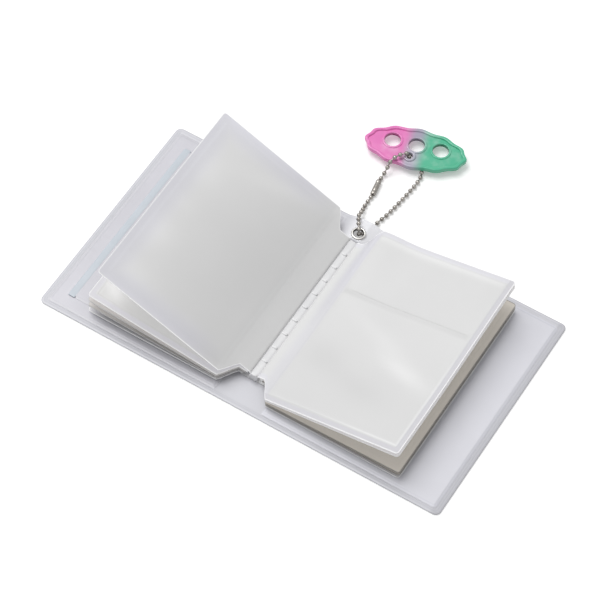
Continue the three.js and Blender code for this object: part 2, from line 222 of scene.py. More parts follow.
# Covers. Each is a calendered film of soft PVC, 0.4 mm thick, with round fore corners. It is welded to its
# lining along a low rim, which leaves a shallow line inside it. Its cut edge is painted grey, as painted
# shade of the edge and of its contact shadow.
fold_x = 12 * mm
fore_x = 116.75 * mm
cover_half_height = 65 * mm
cover_corner = 3 * mm
cover_film = 0.4 * mm
edge_steps = np.array([0, 0.15, 0.3, 0.6, 0.9, 1.3, 1.8, 2.4, 2.8, 3.2, 3.6, 4, 4.5, 5, 6, 8]) * mm
panel_columns = 26
panel_rows = 16
corner_columns = 9
corner_zone = 3 * mm
same_place_digits = 7
merge_reach = 0.002 * mm
crease_angle = math.radians(38)

rim_ridge = 0.25 * mm
rim_rise = 1.1 * mm
rim_end = 3 * mm
rim_fall = 1.4 * mm
lean_start = 5 * mm
lean_ease = 1.5 * mm
lean_step = 1.3 / 3 * mm

film_cloud_scale = 22
film_cloud_dimming = 0.96
cloud_start = 0.35
cloud_end = 0.65
film_grain_scale = 900
film_grain_height = 0.006 * mm
film_gloss_spread = 0.12
film_alpha_spread = 0.03
rim_tint_end = 0.5 * mm
face_tint_start = 0.7 * mm
weld_line_half_width = 0.6 * mm
weld_line_depth = 0.08 * mm
weld_line_share = 0.22
cut_shade_share = 0.75
cut_shade_fade = (0.1 * mm, 0.5 * mm)


def tint(red, green, blue):
    """A screen colour from 0 to 255 as the linear colour that a shader takes, by the sRGB curve."""
    shares = np.array((red, green, blue)) / 255
    linear = np.where(shares <= 0.04045, shares / 12.92, ((shares + 0.055) / 1.055) ** 2.4)
    return (*linear.tolist(), 1)


def smooth_step(x):
    """0 below 0 and 1 above 1, with 3x^2 - 2x^3 between."""
    t = np.clip(x, 0, 1)
    return t * t * (3 - 2 * t)


def quarter(steps):
    """Shares of a radius from 0 to 1, as the sines of even angles up to a right angle."""
    return np.sin(np.linspace(0, math.pi / 2, steps))


def around(steps):
    """Even angles once round a circle, the last on the first."""
    return np.linspace(0, 2 * math.pi, steps + 1)


def in_order(*places):
    """All these places in order, and none of them twice."""
    return np.unique(np.concatenate(places).round(same_place_digits))


def crowded(near, far, count, fine):
    """Distances from near to far: even inside, and at the fine distances from the far end."""
    close = far - np.asarray(fine)[::-1]
    return np.concatenate([np.linspace(near, close[0], count, endpoint=False), close])


def panel_grid(near, far, half_height, corner, fine, near_fine=()):
    """Distances u across a panel and heights v along it, columns by rows, with the panel's distance from its
    outline. The two far corners are quarter circles: past their middles the half height falls as the root of
    the corner's square less the square of the way past."""
    arc = far - corner + corner * quarter(corner_columns)
    close = [way for way in fine if way < corner_zone]
    inner = crowded(near + max(near_fine, default=0), far - corner, panel_columns, close)
    columns = in_order(near + np.asarray(near_fine), inner, arc)
    upper = crowded(0, 1, panel_rows, np.asarray(fine) / half_height)
    shares = np.concatenate([-upper[:0:-1], upper])
    past = np.clip(columns - (far - corner), 0, corner)
    half = half_height - corner + np.sqrt(corner ** 2 - past ** 2)
    u = np.repeat(columns[:, None], len(shares), axis=1)
    v = half[:, None] * shares[None, :]
    over = np.stack([u - (far - corner), np.abs(v) - (half_height - corner)])
    edge = corner - np.hypot(*np.maximum(over, 0)) - np.minimum(over.max(axis=0), 0)
    if len(near_fine):
        edge = np.minimum(edge, u - near)
    return u, v, np.maximum(edge, 0)


def make_piece(name, finish, grids, thickness=0, closed=False):
    """Joins grids into one smooth mesh. A grid holds its points, rows by columns, the cells to keep and the
    values that its points carry. An open film gets its thickness, half to each side, and a closed form is
    merged along its seams and at its poles."""
    points, faces, marks = [], [], {}
    first = 0
    for grid in grids:
        rows, columns = grid["at"].shape[:2]
        index = first + np.arange(rows * columns).reshape(rows, columns)
        cells = np.stack([index[:-1, :-1], index[1:, :-1], index[1:, 1:], index[:-1, 1:]], axis=-1)
        faces.append(cells[grid.get("keep", np.ones(cells.shape[:2], bool))])
        points.append(grid["at"].reshape(-1, 3))
        for mark, values in grid.get("marks", {}).items():
            marks.setdefault(mark, []).append(np.broadcast_to(values, (rows, columns)).ravel())
        first += rows * columns
    used, faces = np.unique(np.concatenate(faces), return_inverse=True)
    mesh = bpy.data.meshes.new(name)
    mesh.from_pydata(np.concatenate(points)[used].tolist(), [], faces.reshape(-1, 4).tolist())
    for mark, values in marks.items():
        layer = mesh.attributes.new(mark, "FLOAT", "POINT")
        layer.data.foreach_set("value", np.concatenate(values)[used].astype(np.float32))
    if closed:
        form = bmesh.new()
        form.from_mesh(mesh)
        bmesh.ops.remove_doubles(form, verts=form.verts, dist=merge_reach)
        bmesh.ops.recalc_face_normals(form, faces=form.faces)
        form.to_mesh(mesh)
        form.free()
    mesh.materials.append(finish)
    piece = add_object(name, mesh)
    if thickness:
        wall = piece.modifiers.new("wall", "SOLIDIFY")
        wall.thickness = thickness
        wall.offset = 0
        scene_graph = bpy.context.evaluated_depsgraph_get()
        piece.data = bpy.data.meshes.new_from_object(piece.evaluated_get(scene_graph))
        piece.modifiers.clear()
    piece.data.shade_smooth()
    piece.data.set_sharp_from_angle(angle=crease_angle)
    return piece


def clear_film(nodes, cover, clearness):
    """Frosted film hides what lies behind it, yet most of the light that falls on it goes through."""
    return cover * (1 - clearness * nodes.any_ray("Shadow", "Diffuse"))


def film_finish(name, face, rim, shaded_cut_edge, rim_width, roughness, alpha, clearness):
    """Soft PVC film. The mark edge is the distance from the cut edge: the welded rim has its own tint, the
    weld ends in a shallow line, and the cut edge is painted greyer, as painted shade. The mark fall is how
    far the surface leans down towards the fore edge. Another mark whitens the film, as painted light. Slow
    noise varies the tint and the gloss a little."""
    material, nodes = new_finish(name)
    edge = nodes.mark("edge")
    slow = nodes.grain(film_cloud_scale, cloud_detail)
    fine = nodes.grain(film_grain_scale)
    inside = edge.rise(rim_width - rim_tint_end, rim_width + face_tint_start)
    line = edge.band(rim_width, weld_line_half_width)
    cut = 1 - edge.rise(*cut_shade_fade)
    cloudy = (*(share * film_cloud_dimming for share in face[:3]), 1)
    base = nodes.blend(inside, rim, nodes.blend(slow.rise(cloud_start, cloud_end), face, cloudy))
    base = nodes.blend(line * weld_line_share, base, tint(178, 180, 190))
    # Painted shade: the cut edge is painted grey, for the shaded side of the film and its contact shadow.
    base = nodes.blend(cut * cut_shade_share, base, shaded_cut_edge)
    # Painted light: where its mark says, the film is painted whiter.
    base = nodes.blend(nodes.mark("painted_light"), base, tint(247, 247, 251))
    relief = fine * film_grain_height - line * weld_line_depth + nodes.mark("fall")
    nodes.dress("Principled BSDF", {
        "Base Color": base,
        "Roughness": roughness + film_gloss_spread * slow,
        "Normal": nodes.dent(relief),
        "Alpha": clear_film(nodes, alpha - film_alpha_spread * slow, clearness),
    })
    return material


def rim_lift(edge):
    """The rim is a low ridge: it rises from the cut edge, and falls again before the lining starts."""
    return rim_ridge * smooth_step(edge / rim_rise) * smooth_step((rim_end - edge) / rim_fall)


def fore_lean(side, u):
    """How far the back cover's rim leans down along the fore edge: with the square of the way at first, and
    then by one step for each length of the ease. The front cover's rim lies flat."""
    past = np.clip((u - (fore_x - lean_start)) / lean_ease, 0, None)
    return -lean_step * (side > 0) * np.where(past < 1, past ** 2 / 2, past - 0.5)


cover_finish = film_finish("cover_film", face=tint(216, 216, 222), rim=tint(216, 216, 222),
                           shaded_cut_edge=tint(176, 176, 183), rim_width=1.6 * mm, roughness=0.3, alpha=0.96,
                           clearness=0.2)
half_books = ((-1, "front"), (1, "back"))

for side, half_book in half_books:
    u, v, edge = panel_grid(fold_x, fore_x, cover_half_height, cover_corner, edge_steps)
    at = np.stack([side * u, v, cover_film / 2 + rim_lift(edge)], axis=-1)
    marks = {"edge": edge, "fall": fore_lean(side, u)}
    cover = make_piece(f"{half_book}_cover", cover_finish, [{"at": at, "marks": marks}], cover_film)
    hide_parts(f"{half_book}_cover_film")
    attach(cover, f"{half_book}_cover")

# Linings. A thinner film of the same soft PVC lies over the inside of each cover. It dips to the cover
# along the welds that hold it all round, just inside its cut edge.
lining_near = 13.5 * mm
lining_far = 113.75 * mm
lining_half_height = 62 * mm
lining_corner = 2 * mm
lining_film = 0.25 * mm
lining_z = 0.825 * mm
lining_weld_z = 0.53 * mm
weld_slope = 1.6 * mm
near_steps = np.array([0, 0.15, 0.3, 0.6, 0.9, 1.3, 1.8, 2.4]) * mm
# The two linings are one film, tinted apart as painted light: the back lining is painted lighter than the
# front one. Their cut edges are painted a little darker, as painted shade.
lining_tints_with_painted_light = {
    "front": {"face": tint(210, 209, 216), "rim": tint(210, 209, 215), "shaded_cut_edge": tint(208, 208, 214)},
    "back": {"face": tint(228, 228, 235), "rim": tint(222, 222, 230), "shaded_cut_edge": tint(212, 212, 218)},
}
lining_finishes = {
    half_book: film_finish(f"{half_book}_lining_film", **tints, rim_width=1.4 * mm, roughness=0.26,
                           alpha=0.9, clearness=0.93)
    for half_book, tints in lining_tints_with_painted_light.items()
}

for side, half_book in half_books:
    u, v, edge = panel_grid(lining_near, lining_far, lining_half_height, lining_corner, edge_steps,
                            near_steps)
    z = lining_weld_z + (lining_z - lining_weld_z) * smooth_step(edge / weld_slope)
    at = np.stack([side * u, v, z], axis=-1)
    marks = {"edge": edge, "fall": fore_lean(side, u)}
    lining = make_piece(f"{half_book}_lining", lining_finishes[half_book], [{"at": at, "marks": marks}],
                        lining_film)
    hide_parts(f"{half_book}_lining_film")
    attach(lining, f"{half_book}_cover")

# Pocket panel inside the front cover. It is lining film, welded at the head, the tail and the fold, and open
# towards the fore edge, where a pale blue tape is folded over its mouth.
pocket_near = 14.4 * mm
pocket_far = 102.6 * mm
pocket_half_height = 54.3 * mm
pocket_corner = 2 * mm
pocket_z = 1.375 * mm
pocket_weld_z = 1.09 * mm
tape_middle = (-104.3 * mm, 0, 1.27 * mm)
tape_half_size = (1.95 * mm, 54.3 * mm, 0.3 * mm)
tape_section_power = 4
tape_outline_power = 40
plain_grain_height = 0.008 * mm

u, v, _ = panel_grid(pocket_near, pocket_far, pocket_half_height, pocket_corner, edge_steps, near_steps)
welded = np.minimum(pocket_half_height - abs(v), u - pocket_near)
z = pocket_weld_z + (pocket_z - pocket_weld_z) * smooth_step(welded / weld_slope)
pocket_grid = {"at": np.stack([-u, v, z], axis=-1), "marks": {"edge": welded}}
pocket = make_piece("front_pocket", lining_finishes["front"], [pocket_grid], lining_film)
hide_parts("front_pocket_panel")
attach(pocket, "front_cover")


def power(angle, exponent):
    """The sine of an angle raised to 2 / exponent, with its sign kept."""
    wave = np.sin(angle)
    return np.sign(wave) * np.abs(wave) ** (2 / exponent)


def rounded_bar(middle, half_size, section_power, outline_power, rings=25, sides=40):
    """A bar along Y. Its section is a superellipse of one power, and its outline along Y is one of the
    other, by sines and cosines raised to 2 / power."""
    end = np.linspace(-math.pi / 2, math.pi / 2, rings)[:, None]
    turn = around(sides)[None, :]
    girth = np.abs(power(end + math.pi / 2, outline_power))
    girth[[0, -1]] = 0
    shape = np.stack([girth * power(turn + math.pi / 2, section_power), power(end, outline_power) + 0 * turn,
                      girth * power(turn, section_power)], axis=-1)
    return {"at": np.array(middle) + shape * np.array(half_size)}


def plain_finish(name, darker, lighter, cloud_scale, clouds, roughness, gloss_spread, grain_scale):
    """An even soft plastic between two tints: slow noise varies the tint and the gloss, and fine noise gives
    the surface a slight grain."""
    material, nodes = new_finish(name)
    slow = nodes.grain(cloud_scale, cloud_detail)
    nodes.dress("Principled BSDF", {
        "Base Color": nodes.blend(slow.rise(*clouds), darker, lighter),
        "Roughness": roughness + gloss_spread * slow,
        "Normal": nodes.dent(nodes.grain(grain_scale) * plain_grain_height),
    })
    return material


tape_finish = plain_finish("pocket_tape", tint(194, 202, 210), tint(201, 208, 216), cloud_scale=60,
                           clouds=(0.3, 0.7), roughness=0.3, gloss_spread=0.15, grain_scale=700)
tape_form = rounded_bar(tape_middle, tape_half_size, tape_section_power, tape_outline_power)
tape = make_piece("front_pocket_tape", tape_finish, [tape_form], closed=True)
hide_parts("front_pocket_binding")
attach(tape, "front_cover")

# Spine. The same film as the covers runs between the two folds. Near the head it rises over the chain, and
# the eyelet goes through it there. Towards the head the film is painted whiter, from the front fold towards
# the back, as painted light on the slopes of the rise.
eyelet_x = -0.6 * mm
eyelet_y = 55 * mm
rise_half_width = 2.7 * mm
rise_ramp = 8.7 * mm
rise_start = 49 * mm
rise_full = 50.8 * mm
rise_end = 59.2 * mm
rise_at_eyelet = 3.45 * mm
rise_at_head = 2.75 * mm
painted_light_along = 3 * mm
painted_light_across = 9 * mm
spine_hole = 3.4 * mm
spine_columns = np.linspace(-fold_x, fold_x, 97)
spine_rows = in_order(edge_steps - cover_half_height, np.linspace(-56 * mm, 46 * mm, 55),
                      np.linspace(46 * mm, 56 * mm, 41), cover_half_height - edge_steps)

x, y = np.meshgrid(spine_columns, spine_rows, indexing="ij")
across = np.clip((rise_half_width + rise_ramp - abs(x - eyelet_x)) / rise_ramp, 0, 1)
along = smooth_step((y - rise_start) / (rise_full - rise_start))
fall = np.clip((y - rise_end) / (cover_half_height - rise_end), 0, 1)
z = cover_film / 2 + across * along * (rise_at_eyelet + (rise_at_head - rise_at_eyelet) * fall)
z = z + rim_lift(cover_half_height - abs(y)) * (1 - across * along)
# Painted light: the film is painted whiter towards the head and towards the back, over the rise.
painted_light_share = smooth_step((y - rise_start) / painted_light_along) * smooth_step((x + fold_x) / painted_light_across)
away = np.hypot(x - eyelet_x, y - eyelet_y)
cell_away = (away[:-1, :-1] + away[1:, :-1] + away[1:, 1:] + away[:-1, 1:]) / 4
spine_grid = {"at": np.stack([x, y, z], axis=-1), "keep": cell_away > spine_hole,
              "marks": {"edge": cover_half_height - abs(y), "painted_light": painted_light_share}}
spine = make_piece("spine", cover_finish, [spine_grid], cover_film)
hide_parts("spine_film")
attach(spine, "spine")

# Binding strip. A white film flange lies in the gutter under the leaf roots. A rounded ridge stands on it,
# with a row of short weld ticks, and beside the ridge low walls carry the roots of the leaves.
strip_tail = -47.2 * mm
strip_head = 48.7 * mm
strip_middle = (strip_tail + strip_head) / 2
strip_half = (strip_head - strip_tail) / 2
strip_end_round = 0.4 * mm
strip_end_shrink = 0.1
flange_x = 0.4 * mm
flange_half_width = 8.4 * mm
flange_z = 0.825 * mm
flange_power = 6
strip_outline_power = 60
tick_middle = (0.1 * mm, 5.3 * mm)
tick_half_size = (1.65 * mm, 0.85 * mm, 0.55 * mm)
tick_powers = (2.4, 2.6)
tick_curl = 0.12 / mm
tick_rows = np.linspace(-46.6 * mm, 39.3 * mm, 10)
wall_half_width = 0.25 * mm
wall_inset = 1.5 * mm
wall_power = 5
# Places across and tops of the root walls, in millimetres.
root_walls = ((-6.7, 1.85), (-5.6, 2.95), (-4.5, 4.05), (-3.4, 5.1), (4.2, 2.1), (5.3, 3.5), (6.4, 2.4),
              (7.5, 1.3))
# Places across and heights of the ridge's outline. Its top falls towards the back cover.
ridge_section = np.array([(-2.6, 0.8), (-2.6, 3.3), (-2.4, 3.55), (-1.85, 3.6), (-1.74, 3.75), (-1.74, 5),
                          (-1.69, 5.25), (-1.6, 5.5), (-1.45, 5.62), (-1, 5.55), (-0.5, 5.43), (0, 5.35),
                          (0.6, 5.28), (1.1, 5.2), (1.5, 5.1), (1.9, 4.94), (2.12, 4.84), (2.12, 0.8),
                          (-2.6, 0.8)]) * mm


def profiled_bar(section, middle_y, half_length, rings=7):
    """A closed section carried along Y. Near each end it shrinks a little towards its middle along a quarter
    circle, and it closes there."""
    turn = np.linspace(math.pi / 2, 0, rings)
    away = np.concatenate([[half_length], half_length - strip_end_round * (1 - np.sin(turn))])
    size = np.concatenate([[0], 1 - strip_end_shrink * (1 - np.cos(turn))])[:, None, None]
    centre = section.mean(axis=0)
    ends = []
    for side in (-1, 1):
        flat_form = centre + size * (section - centre)
        y = np.broadcast_to((middle_y + side * away)[:, None, None], flat_form.shape[:2] + (1,))
        ends.append(np.concatenate([flat_form[..., :1], y, flat_form[..., 1:]], axis=-1)[::side])
    return {"at": np.concatenate(ends[::-1])}


def weld_tick(tick_y):
    """A short rounded bar on the ridge. Its front end turns up with the square of the way across."""
    tick_x, tick_z = tick_middle
    tick = rounded_bar((tick_x, tick_y, tick_z), tick_half_size, *tick_powers, rings=17, sides=24)
    x = tick["at"][..., 0]
    tick["at"][..., 2] += tick_curl * x ** 2 * (x < 0)
    return tick


def root_wall(wall_x, top):
    """A low wall that stands on the flange and reaches its top."""
    half_size = (wall_half_width, strip_half - wall_inset, (top - flange_z) / 2)
    return rounded_bar((wall_x, strip_middle, (flange_z + top) / 2), half_size, wall_power,
                       strip_outline_power)


strip_finish = plain_finish("binding_strip", tint(232, 232, 234), tint(238, 238, 239), cloud_scale=40,
                            clouds=(cloud_start, cloud_end), roughness=0.36, gloss_spread=0.12,
                            grain_scale=800)
strip_forms = [
    rounded_bar((flange_x, strip_middle, flange_z), (flange_half_width, strip_half, lining_film / 2),
                flange_power, strip_outline_power),
    profiled_bar(ridge_section, strip_middle, strip_half),
    *(weld_tick(tick_y) for tick_y in tick_rows),
    *(root_wall(wall_x * mm, top * mm) for wall_x, top in root_walls),
]
strip = make_piece("gutter_strip", strip_finish, strip_forms, closed=True)
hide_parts("binding_strip")
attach(strip, "spine")

# Leaves. Each is two frosted films welded round the rim, with a wide weld at the root, where it curves down
# to the gutter. A slit across one film takes the card. The top leaves are springy and belly a little.
leaf_middle = 0.75 * mm
leaf_width = 91.2 * mm
leaf_half_height = 58.3 * mm
root_half_height = 47.95 * mm
notch_start = 7.5 * mm
notch_end = 14.5 * mm
notch_evenness = 0.7
leaf_corner = 1.8 * mm
leaf_film = 0.25 * mm
film_apart = 0.275 * mm
rim_weld = 3.2 * mm
root_weld = 13.5 * mm
weld_ramp = 2 * mm
root_curl = 0.45 * mm
root_clear = 1.2 * mm
belly_start = 2 * mm
belly_ramp = 7 * mm
ripple_ramp = 12 * mm
gutter_x = -1 * mm
slit_height = 18.4 * mm
slit_half_width = 0.03 * mm
slit_near = 18.5 * mm
slit_far = 85.7 * mm
slit_lip = 0.04 * mm
slit_lip_reach = 2 * mm
slit_lip_fade = 4 * mm
slit_clear = 3.6 * mm
rim_clear = 9 * mm
rim_steps = np.array([0, 0.15, 0.3, 0.6, 1, 1.6, 2.4, 3.4, 4, 4.5, 5, 5.5, 6.2, 7.5]) * mm
slit_steps = np.array([0.03, 0.2, 0.6, 1.2, 2, 3]) * mm
hair = 1e-6
leaf_cloud_scale = 16
leaf_cloud_share = 0.35
leaf_roughness = 0.34
leaf_gloss_spread = 0.14
leaf_alpha = 0.97
leaf_clearness = 0.9
leaf_line_place = 0.2 * mm
leaf_line_half_width = 0.9 * mm
leaf_line_share = 0.12
leaf_line_height = 0.06 * mm
painted_cut_share = 0.9
painted_cut_fade = (0.15 * mm, 0.7 * mm)
painted_glow_fade = (0.02 * mm, 0.15 * mm)
# Soft patches of painted light and shade on the top leaves: strength, middle, reaches along u and v, and
# slope, in millimetres. They paint where the real films belly towards the lamp and away from it.
corner_lights = [(0.75, 81, -48.5, 6, 4.5, 0.4)]
raised_lights = [(0.22, 79, 24, 8, 11, 0), (0.132, 78, 2, 7, 7, 0), (0.22, 79, -19, 8, 9, 0),
                 (0.176, 77, -46, 11, 7, 0), (0.18, 40, 46, 26, 5, -0.32)]
top_lights = [(0.45, 50, 54, 60, 2.2, 0), (0.42, 68, -15, 15, 4.5, -0.28), (0.18, 50, -2, 22, 5, -0.4)]
top_shades = [(0.17, 26, -22, 12, 9, -0.2), (0.15, 52, -32, 16, 7, -0.2)]
slit_end_shades = [(0.16, 17, 18, 14, 60, 0), (0.08, 86, 18, 10, 60, 0)]


def ramp(way, start, length):
    """0 up to the start and 1 from one length past it, with a smooth step between, in millimetres."""
    return smooth_step((way - start * mm) / (length * mm))


def stripe(way, middle, reach):
    """The bell curve, e to the power of -x^2, of the way from the middle in reaches, in millimetres."""
    return np.exp(-((way / mm - middle) / reach) ** 2)


def patches(u, v, rows):
    """Soft patches added up. Each is a bell curve along u times one across it, and may lie aslant."""
    total = 0 * u
    for strength, middle_u, middle_v, reach_u, reach_v, slope in rows:
        level = v - slope * (u - middle_u * mm)
        total = total + strength * stripe(u, middle_u, reach_u) * stripe(level, middle_v, reach_v)
    return total


def flat(u, v):
    """No height anywhere."""
    return 0 * u


def pressed(u, v):
    """The slight unevenness that a film keeps between others: two slow waves across each other."""
    return 0.05 * mm * np.sin(u / (13 * mm)) * np.cos(v / (17 * mm))


def head_belly(u, v):
    """A belly over the root that grows towards the head, and a twist that lifts the head corner."""
    return ramp(v, -25, 80) * (3 * mm * stripe(u, 15, 14) + 2 * mm * u / leaf_width)


def loose_ripple(u, v):
    """Slanting ripples of a slack film, strongest near the fore edge and the tail, on two slow waves."""
    slant = (u - 0.55 * v) / (11 * mm)
    strength = ramp(u, 30, 50) * (1 - ramp(v, -40, 60))
    return 0.22 * mm * np.sin(slant) * strength + 0.1 * mm * np.sin(u / (17 * mm)) * np.sin(v / (23 * mm))


def even_painted_light(u, v):
    """Painted light on an even film: a little lighter towards the head."""
    return 0.4 + 0.2 * ramp(v, 20, 40)


def corner_painted_light(u, v):
    """Leaf 4 has a painted highlight in its pocket's tail corner."""
    return even_painted_light(u, v) + patches(u, v, corner_lights)


def raised_painted_shading(u, v):
    """Painted light and shade on leaf 5. It bends up from the gutter and lies flatter towards the fore edge
    and the head, so it is painted lighter there, with painted patches of light where the film bellies."""
    towards_head = ramp(v, 5, 50) * ramp(u, 15, 50)
    slopes = 0.18 + 0.4 * ramp(u, 22, 62) + 0.12 * towards_head - 0.15 * ramp(u, 84, 6)
    welds = 0.224 * (1 - ramp(u, 14.6, 2.6)) + 0.14 * ramp(v, 46, 12)
    return slopes + welds + patches(u, v, raised_lights)


def top_painted_shading(u, v):
    """Painted light and shade on leaf 6, which is slack: painted light along the head weld, below the slit
    and on a slanting ripple near the fore edge, and painted shade in the hollows beside the ripple. Its weld
    has a painted bright line, brightest towards the tail's fore corner, and a painted shaded rim."""
    in_pocket = ramp(u, 14, 2) * (1 - ramp(u, 86, 2))
    below_slit = v - slit_height
    lights = patches(u, v, top_lights) + 0.12 * stripe(below_slit, -4.6, 1.1)
    slit_shade = (0.15 + patches(u, v, slit_end_shades)) * stripe(below_slit, -1.3, 1.6)
    shades = patches(u, v, top_shades) + slit_shade
    past_weld = np.maximum(u - 87.6 * mm, -54.2 * mm - v)
    towards_corner = (1 - ramp(v, -18, 30)) * ramp(u, 35, 40)
    weld_glint = (0.1 + 0.5 * towards_corner) * stripe(past_weld, 0.2, 0.6)
    rim_shade = 0.55 * ramp(past_weld, 0.4, 1)
    slopes = 0.22 + 0.12 * ramp(v, -40, 50) + 0.2 * (1 - ramp(u, 6, 6))
    return slopes + in_pocket * (lights - shades) + weld_glint - rim_shade


def rim_cool(u, v, edge):
    """The welded rim looks lilac, and so does the root weld."""
    return np.maximum(1 - ramp(edge, 2.6, 1), 1 - ramp(u, 12.8, 1.4))


def raised_cool(u, v, edge):
    """On leaf 5 the lilac of the rim fades slowly inwards, and the root weld stays grey."""
    return ramp(u, 14, 22) * (1 - ramp(edge, 2, 14))


def top_cool(u, v, edge):
    """On leaf 6 the narrow rim is a pale lilac grey, and the root weld is white by the gutter and lilac by
    the pocket, most of all towards the head."""
    by_pocket = ramp(u, 6, 5) * (1 - ramp(u, 13.5, 1.6))
    towards_head = 0.55 + 0.45 * ramp(v, -10, 50)
    return np.maximum(0.8 * (1 - ramp(edge, 2.4, 1.2)), by_pocket * towards_head)


leaf_finish, leaf_nodes = new_finish("leaf_film")
leaf_stack_shade = leaf_nodes.mark("painted_stack_shade")
leaf_edge = leaf_nodes.mark("edge")
leaf_slow = leaf_nodes.grain(leaf_cloud_scale, cloud_detail)
leaf_line = leaf_nodes.mark("open").band(leaf_line_place, leaf_line_half_width)
# Painted light and shade: the leaf's grey and lilac run from darker to lighter by its painted shading mark,
# and by slow noise.
leaf_shading_and_cloud = leaf_nodes.mark("painted_shading") + (leaf_slow - 0.5) * leaf_cloud_share
leaf_grey = leaf_nodes.blend(leaf_shading_and_cloud, tint(208, 208, 208), tint(240, 240, 240))
leaf_lilac = leaf_nodes.blend(leaf_shading_and_cloud, tint(208, 207, 213), tint(239, 239, 246))
leaf_base = leaf_nodes.blend(leaf_nodes.mark("cool"), leaf_grey, leaf_lilac)
leaf_base = leaf_nodes.blend(leaf_line * leaf_line_share, leaf_base, tint(190, 190, 192))
# Painted shade: leaves inside the stack are painted beige, where the leaves above shade them.
leaf_base = leaf_nodes.blend(leaf_stack_shade, leaf_base, tint(216, 209, 199))
# Painted highlight and shade: the cut edges of the top leaves are painted near white and glow a little, as
# painted light, and those of leaves inside the stack are painted dark, as painted shade.
leaf_cut_glint_and_shade = leaf_nodes.blend(leaf_stack_shade, tint(250, 250, 251), tint(146, 142, 137))
leaf_base = leaf_nodes.blend((1 - leaf_edge.rise(*painted_cut_fade)) * painted_cut_share, leaf_base, leaf_cut_glint_and_shade)
leaf_painted_glow = (1 - leaf_edge.rise(*painted_glow_fade)) * (1 - leaf_stack_shade)
leaf_relief = leaf_nodes.grain(film_grain_scale) * film_grain_height + leaf_line * leaf_line_height
leaf_nodes.dress("Principled BSDF", {
    "Base Color": leaf_base,
    "Roughness": leaf_roughness + leaf_gloss_spread * leaf_slow,
    "Normal": leaf_nodes.dent(leaf_relief),
    "Alpha": clear_film(leaf_nodes, leaf_alpha - film_alpha_spread * leaf_slow, leaf_clearness),
    "Emission Color": leaf_nodes.blend(leaf_painted_glow, tint(0, 0, 0), tint(120, 120, 121)),
    "Emission Strength": 1,
})


def leaf_half(u):
    """Half height of a leaf at a distance from the gutter: the root is shorter, widens along a smooth slope
    and ends in quarter circles at the fore corners."""
    past = np.clip(u - (leaf_width - leaf_corner), 0, leaf_corner)
    widening = np.clip((u - notch_start) / (notch_end - notch_start), 0, 1)
    widened = notch_evenness * widening + (1 - notch_evenness) * smooth_step(widening)
    notched = root_half_height + (leaf_half_height - root_half_height) * widened
    return notched - leaf_corner + np.sqrt(leaf_corner ** 2 - past ** 2)


def leaf_grid(root_away, lip):
    """Distances u from the gutter and heights v of a leaf's points, columns by rows. They lie closer
    together at the root, at the rim and by the slit, and the heights shrink with the leaf's half height."""
    columns = in_order(
        root_away - lip + (root_curl + lip) * quarter(6),
        np.linspace(root_away + root_clear, notch_start, 6),
        np.linspace(notch_start, notch_end, 15),
        np.linspace(notch_end, slit_near, 6),
        np.linspace(slit_near, slit_far, 36),
        leaf_width - rim_steps,
        leaf_width - leaf_corner + leaf_corner * quarter(8),
    )
    columns = columns[columns >= root_away - lip - hair]
    inner = np.linspace(rim_clear - leaf_half_height, leaf_half_height - rim_clear, 41)
    inner = inner[abs(inner - slit_height) > slit_clear]
    rows = in_order(rim_steps - leaf_half_height, inner, slit_height - slit_steps,
                    slit_height + slit_steps, leaf_half_height - rim_steps)
    u = np.repeat(columns[:, None], len(rows), axis=1)
    return u, leaf_half(u) * (rows / leaf_half_height)


def make_leaf(number, side, root, angle, lip=0, droop=0, belly=flat, ripple=pressed, painted_shading=even_painted_light,
              cool=rim_cool, painted_stack_shade=0, softness=1):
    """A leaf stands at its angle about its root. Both films follow one middle surface, raised by the belly
    and the ripple, and part from each other inside the welds. The root curls down in a quarter circle, or
    reaches past its hinge as a lip that droops with the square of the way. The mark open is the way into
    the pocket from the nearest weld, and cool says how lilac the film is. Two marks are painted light and
    shade: one says how light the film is painted, and one how much beige painted shade it has where it lies
    in the stack under other leaves. Root, lip and droop are in millimetres."""
    root_x, root_z = np.array(root) * mm
    lip_reach = lip * mm
    root_away = side * (root_x - gutter_x)
    u, v = leaf_grid(root_away, lip_reach)
    edge = np.maximum(np.minimum(leaf_half(u) - abs(v), leaf_width - u), 0)
    open_way = np.minimum(edge - rim_weld, u - root_weld)
    out = u - root_away
    bent = np.clip((root_curl - out) / (root_curl + lip_reach), 0, 1)
    sunk = droop * mm * bent ** 2 if lip else root_curl * (1 - np.sqrt(1 - bent ** 2))
    swell = smooth_step((out - belly_start) / belly_ramp) * belly(u, v)
    swell = swell + smooth_step(open_way / ripple_ramp) * ripple(u, v)
    apart = leaf_film / 2 + (film_apart - leaf_film / 2) * smooth_step(open_way / weld_ramp)
    by_slit = smooth_step(1 - abs(v - slit_height) / slit_lip_reach)
    by_slit = by_slit * smooth_step(np.minimum(u - slit_near, slit_far - u) / slit_lip_fade)
    in_slit = abs((v[:-1, :-1] + v[1:, 1:]) / 2 - slit_height) < slit_half_width
    in_slit &= (u[:-1, :-1] >= slit_near - hair) & (u[1:, 1:] <= slit_far + hair)
    marks = {"edge": edge, "open": open_way / softness, "painted_shading": painted_shading(u, v), "cool": cool(u, v, edge),
             "painted_stack_shade": painted_stack_shade}
    tilt = math.radians(angle)
    grids = []
    for face in (1, -1):
        has_slit = face == side
        height = swell - sunk + face * (apart + slit_lip * by_slit * has_slit)
        at = np.stack([root_x + side * (out * math.cos(tilt) - height * math.sin(tilt)), leaf_middle + v,
                       root_z + out * math.sin(tilt) + height * math.cos(tilt)], axis=-1)
        grids.append({"at": at, "keep": ~(in_slit & has_slit), "marks": marks})
    return make_piece(f"leaf_{number}", leaf_finish, grids, leaf_film)


